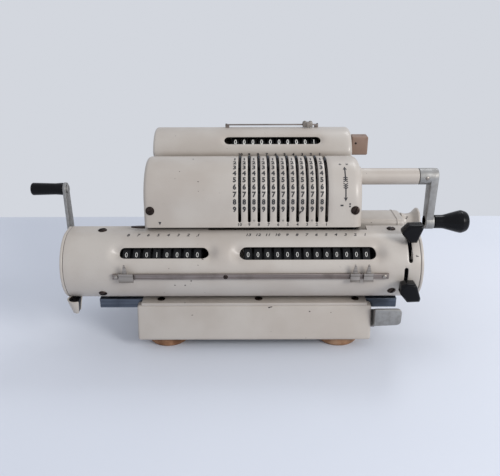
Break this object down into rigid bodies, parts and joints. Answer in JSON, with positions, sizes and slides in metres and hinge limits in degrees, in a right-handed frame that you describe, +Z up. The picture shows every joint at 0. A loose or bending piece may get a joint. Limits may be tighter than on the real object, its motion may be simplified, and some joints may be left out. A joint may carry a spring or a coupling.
{
  "type": "mechanical adding machine",
  "caption": "hand-cranked pin-wheel calculator: slotted drum cover with setting levers, check dials, sliding carriage with dials, main and clearing cranks",
  "frame": {"origin": "middle of the whole machine's footprint, on the surface that its feet stand on", "axes": "+X to the operator's right along the carriage, +Y away from the operator, +Z up"},
  "size_m": [0.334, 0.1376, 0.1526],
  "materials": {
    "cream_paint": "hammered cream enamel, semi-gloss, small chips",
    "bright_steel": "plain bright steel",
    "plated_rail": "dull nickel-plated strip, brownish",
    "grey_steel": "grey cast steel, worn satin",
    "dark_steel": "blued steel, oily",
    "black_plastic": "black phenolic plastic, polished",
    "dial_black": "black enamelled wheels with pale figures",
    "brown_plastic": "brown-grey phenolic plastic",
    "gear_brass": "plain brass",
    "foot_rubber": "tan-brown rubber, matt"
  },
  "bodies": {
    "frame": {"base_cover": "cream_paint", "base_plate": "dark_steel", "foot_front_left": "foot_rubber", "foot_front_right": "foot_rubber", "foot_back_left": "foot_rubber", "foot_back_right": "foot_rubber", "carriage_rail": "dark_steel", "drum_cover": "cream_paint", "check_cover": "cream_paint", "rear_cover": "cream_paint", "left_frame": "dark_steel", "right_frame": "dark_steel", "gear_case": "cream_paint", "crank_sleeve": "cream_paint", "crank_rest": "cream_paint", "check_dial_shaft": "bright_steel", "check_marker_rail": "plated_rail"},
    "crank": {"crank_shaft": "bright_steel", "crank_arm": "grey_steel"},
    "crank_grip": {"crank_grip": "black_plastic"},
    "idler": {"idler_gear": "gear_brass"},
    "drum": {"drum": "bright_steel"},
    "lever_1": {"setting_lever_1": "bright_steel"},
    "lever_2": {"setting_lever_2": "bright_steel"},
    "lever_3": {"setting_lever_3": "bright_steel"},
    "lever_4": {"setting_lever_4": "bright_steel"},
    "lever_5": {"setting_lever_5": "bright_steel"},
    "lever_6": {"setting_lever_6": "bright_steel"},
    "lever_7": {"setting_lever_7": "bright_steel"},
    "lever_8": {"setting_lever_8": "bright_steel"},
    "lever_9": {"setting_lever_9": "bright_steel"},
    "lever_10": {"setting_lever_10": "bright_steel"},
    "dial_1": {"check_dial_1": "dial_black"},
    "dial_2": {"check_dial_2": "dial_black"},
    "dial_3": {"check_dial_3": "dial_black"},
    "dial_4": {"check_dial_4": "dial_black"},
    "dial_5": {"check_dial_5": "dial_black"},
    "dial_6": {"check_dial_6": "dial_black"},
    "dial_7": {"check_dial_7": "dial_black"},
    "dial_8": {"check_dial_8": "dial_black"},
    "dial_9": {"check_dial_9": "dial_black"},
    "dial_10": {"check_dial_10": "dial_black"},
    "clearing_knob": {"clearing_knob": "brown_plastic"},
    "check_marker": {"check_marker": "bright_steel"},
    "carriage": {"carriage_cover": "cream_paint", "carriage_left_cap": "cream_paint", "carriage_right_cap": "cream_paint", "carriage_bed": "cream_paint", "marker_rail": "plated_rail"},
    "result_dials": {"result_dials": "dial_black"},
    "counter_dials": {"counter_dials": "dial_black"},
    "dial_shaft": {"dial_shaft": "bright_steel"},
    "clearing_crank": {"clearing_arm": "grey_steel"},
    "clearing_grip": {"clearing_grip": "black_plastic"},
    "upper_key": {"upper_key": "black_plastic"},
    "lower_key": {"lower_key": "black_plastic"},
    "counter_marker": {"counter_marker": "bright_steel"},
    "result_marker_left": {"result_marker_left": "bright_steel"},
    "result_marker_right": {"result_marker_right": "bright_steel"},
    "shift_lever": {"shift_lever": "grey_steel"}
  },
  "joints": [
    {"name": "crank_turn", "type": "hinge", "parent": "frame", "child": "crank", "pos_m": [0.12345, 0.00482, 0.1213], "axis": [1, 0, 0], "continuous": true},
    {"name": "crank_grip_spin", "type": "hinge", "parent": "crank", "child": "crank_grip", "pos_m": [0.15245, 0.00482, 0.084], "axis": [1, 0, 0], "continuous": true},
    {"name": "idler_turn", "type": "hinge", "parent": "frame", "child": "idler", "pos_m": [0.06345, 0.01838, 0.11088], "axis": [1, 0, 0], "continuous": true},
    {"name": "drum_turn", "type": "hinge", "parent": "frame", "child": "drum", "pos_m": [-0.00255, 0.00162, 0.1075], "axis": [1, 0, 0], "continuous": true},
    {"name": "lever_1_set", "type": "hinge", "parent": "drum", "child": "lever_1", "pos_m": [0.05065, 0.00162, 0.1075], "axis": [1, 0, 0], "range_deg": [-10.4, 83.2]},
    {"name": "lever_2_set", "type": "hinge", "parent": "drum", "child": "lever_2", "pos_m": [0.04365, 0.00162, 0.1075], "axis": [1, 0, 0], "range_deg": [0, 93.6]},
    {"name": "lever_3_set", "type": "hinge", "parent": "drum", "child": "lever_3", "pos_m": [0.03665, 0.00162, 0.1075], "axis": [1, 0, 0], "range_deg": [0, 93.6]},
    {"name": "lever_4_set", "type": "hinge", "parent": "drum", "child": "lever_4", "pos_m": [0.02965, 0.00162, 0.1075], "axis": [1, 0, 0], "range_deg": [0, 93.6]},
    {"name": "lever_5_set", "type": "hinge", "parent": "drum", "child": "lever_5", "pos_m": [0.02265, 0.00162, 0.1075], "axis": [1, 0, 0], "range_deg": [0, 93.6]},
    {"name": "lever_6_set", "type": "hinge", "parent": "drum", "child": "lever_6", "pos_m": [0.01565, 0.00162, 0.1075], "axis": [1, 0, 0], "range_deg": [0, 93.6]},
    {"name": "lever_7_set", "type": "hinge", "parent": "drum", "child": "lever_7", "pos_m": [0.00865, 0.00162, 0.1075], "axis": [1, 0, 0], "range_deg": [0, 93.6]},
    {"name": "lever_8_set", "type": "hinge", "parent": "drum", "child": "lever_8", "pos_m": [0.00165, 0.00162, 0.1075], "axis": [1, 0, 0], "range_deg": [0, 93.6]},
    {"name": "lever_9_set", "type": "hinge", "parent": "drum", "child": "lever_9", "pos_m": [-0.00535, 0.00162, 0.1075], "axis": [1, 0, 0], "range_deg": [0, 93.6]},
    {"name": "lever_10_set", "type": "hinge", "parent": "drum", "child": "lever_10", "pos_m": [-0.01235, 0.00162, 0.1075], "axis": [1, 0, 0], "range_deg": [0, 93.6]},
    {"name": "dial_1_turn", "type": "hinge", "parent": "frame", "child": "dial_1", "pos_m": [0.04665, 0.04662, 0.1308], "axis": [1, 0, 0], "range_deg": [-36, 288]},
    {"name": "dial_2_turn", "type": "hinge", "parent": "frame", "child": "dial_2", "pos_m": [0.03965, 0.04662, 0.1308], "axis": [1, 0, 0], "range_deg": [0, 324]},
    {"name": "dial_3_turn", "type": "hinge", "parent": "frame", "child": "dial_3", "pos_m": [0.03265, 0.04662, 0.1308], "axis": [1, 0, 0], "range_deg": [0, 324]},
    {"name": "dial_4_turn", "type": "hinge", "parent": "frame", "child": "dial_4", "pos_m": [0.02565, 0.04662, 0.1308], "axis": [1, 0, 0], "range_deg": [0, 324]},
    {"name": "dial_5_turn", "type": "hinge", "parent": "frame", "child": "dial_5", "pos_m": [0.01865, 0.04662, 0.1308], "axis": [1, 0, 0], "range_deg": [0, 324]},
    {"name": "dial_6_turn", "type": "hinge", "parent": "frame", "child": "dial_6", "pos_m": [0.01165, 0.04662, 0.1308], "axis": [1, 0, 0], "range_deg": [0, 324]},
    {"name": "dial_7_turn", "type": "hinge", "parent": "frame", "child": "dial_7", "pos_m": [0.00465, 0.04662, 0.1308], "axis": [1, 0, 0], "range_deg": [0, 324]},
    {"name": "dial_8_turn", "type": "hinge", "parent": "frame", "child": "dial_8", "pos_m": [-0.00235, 0.04662, 0.1308], "axis": [1, 0, 0], "range_deg": [0, 324]},
    {"name": "dial_9_turn", "type": "hinge", "parent": "frame", "child": "dial_9", "pos_m": [-0.00935, 0.04662, 0.1308], "axis": [1, 0, 0], "range_deg": [0, 324]},
    {"name": "dial_10_turn", "type": "hinge", "parent": "frame", "child": "dial_10", "pos_m": [-0.01635, 0.04662, 0.1308], "axis": [1, 0, 0], "range_deg": [0, 324]},
    {"name": "clearing_knob_swing", "type": "hinge", "parent": "frame", "child": "clearing_knob", "pos_m": [0.08345, 0.04662, 0.1308], "axis": [1, 0, 0], "range_deg": [0, 35], "stiffness_Nm_per_rad": 0.1, "springref_deg": -11.46},
    {"name": "check_marker_slide", "type": "slide", "parent": "frame", "child": "check_marker", "axis": [1, 0, 0], "range_m": [-0.06, 0.003]},
    {"name": "carriage_slide", "type": "slide", "parent": "frame", "child": "carriage", "axis": [1, 0, 0], "range_m": [-0.028, 0.021]},
    {"name": "result_dials_turn", "type": "hinge", "parent": "carriage", "child": "result_dials", "pos_m": [0.03545, -0.03148, 0.0663], "axis": [1, 0, 0], "continuous": true},
    {"name": "counter_dials_turn", "type": "hinge", "parent": "carriage", "child": "counter_dials", "pos_m": [-0.06755, -0.03148, 0.0663], "axis": [1, 0, 0], "continuous": true},
    {"name": "dial_shaft_turn", "type": "hinge", "parent": "carriage", "child": "dial_shaft", "pos_m": [-0.00255, -0.03148, 0.0663], "axis": [1, 0, 0], "continuous": true},
    {"name": "clearing_turn", "type": "hinge", "parent": "carriage", "child": "clearing_crank", "pos_m": [-0.14155, -0.01018, 0.066], "axis": [1, 0, 0], "continuous": true},
    {"name": "clearing_grip_spin", "type": "hinge", "parent": "clearing_crank", "child": "clearing_grip", "pos_m": [-0.15455, -0.01018, 0.117], "axis": [1, 0, 0], "continuous": true},
    {"name": "upper_key_press", "type": "hinge", "parent": "carriage", "child": "upper_key", "pos_m": [0.10865, -0.03148, 0.0663], "axis": [1, 0, 0], "range_deg": [0, 16], "stiffness_Nm_per_rad": 0.1, "springref_deg": -11.46},
    {"name": "lower_key_lift", "type": "hinge", "parent": "carriage", "child": "lower_key", "pos_m": [0.10565, -0.03148, 0.0663], "axis": [-1, 0, 0], "range_deg": [0, 16], "stiffness_Nm_per_rad": 0.1, "springref_deg": -11.46},
    {"name": "counter_marker_slide", "type": "slide", "parent": "carriage", "child": "counter_marker", "axis": [1, 0, 0], "range_m": [0, 0.058]},
    {"name": "result_marker_left_slide", "type": "slide", "parent": "carriage", "child": "result_marker_left", "axis": [1, 0, 0], "range_m": [-0.08, 0]},
    {"name": "result_marker_right_slide", "type": "slide", "parent": "carriage", "child": "result_marker_right", "axis": [1, 0, 0], "range_m": [0, 0.004]},
    {"name": "shift_lever_press", "type": "hinge", "parent": "frame", "child": "shift_lever", "pos_m": [0.07245, -0.03518, 0.02], "axis": [1, 0, 0], "range_deg": [0, 8], "stiffness_Nm_per_rad": 0.3, "springref_deg": -11.46}
  ],
  "couplings": [
    {"joint": "idler_turn", "follows": "crank_turn", "ratio": -1.125},
    {"joint": "drum_turn", "follows": "crank_turn", "ratio": 1},
    {"joint": "dial_1_turn", "follows": "lever_1_set", "ratio": 3.4615},
    {"joint": "dial_2_turn", "follows": "lever_2_set", "ratio": 3.4615},
    {"joint": "dial_3_turn", "follows": "lever_3_set", "ratio": 3.4615},
    {"joint": "dial_4_turn", "follows": "lever_4_set", "ratio": 3.4615},
    {"joint": "dial_5_turn", "follows": "lever_5_set", "ratio": 3.4615},
    {"joint": "dial_6_turn", "follows": "lever_6_set", "ratio": 3.4615},
    {"joint": "dial_7_turn", "follows": "lever_7_set", "ratio": 3.4615},
    {"joint": "dial_8_turn", "follows": "lever_8_set", "ratio": 3.4615},
    {"joint": "dial_9_turn", "follows": "lever_9_set", "ratio": 3.4615},
    {"joint": "dial_10_turn", "follows": "lever_10_set", "ratio": 3.4615},
    {"joint": "result_dials_turn", "follows": "clearing_turn", "ratio": -1},
    {"joint": "counter_dials_turn", "follows": "clearing_turn", "ratio": -1},
    {"joint": "dial_shaft_turn", "follows": "clearing_turn", "ratio": -1}
  ]
}
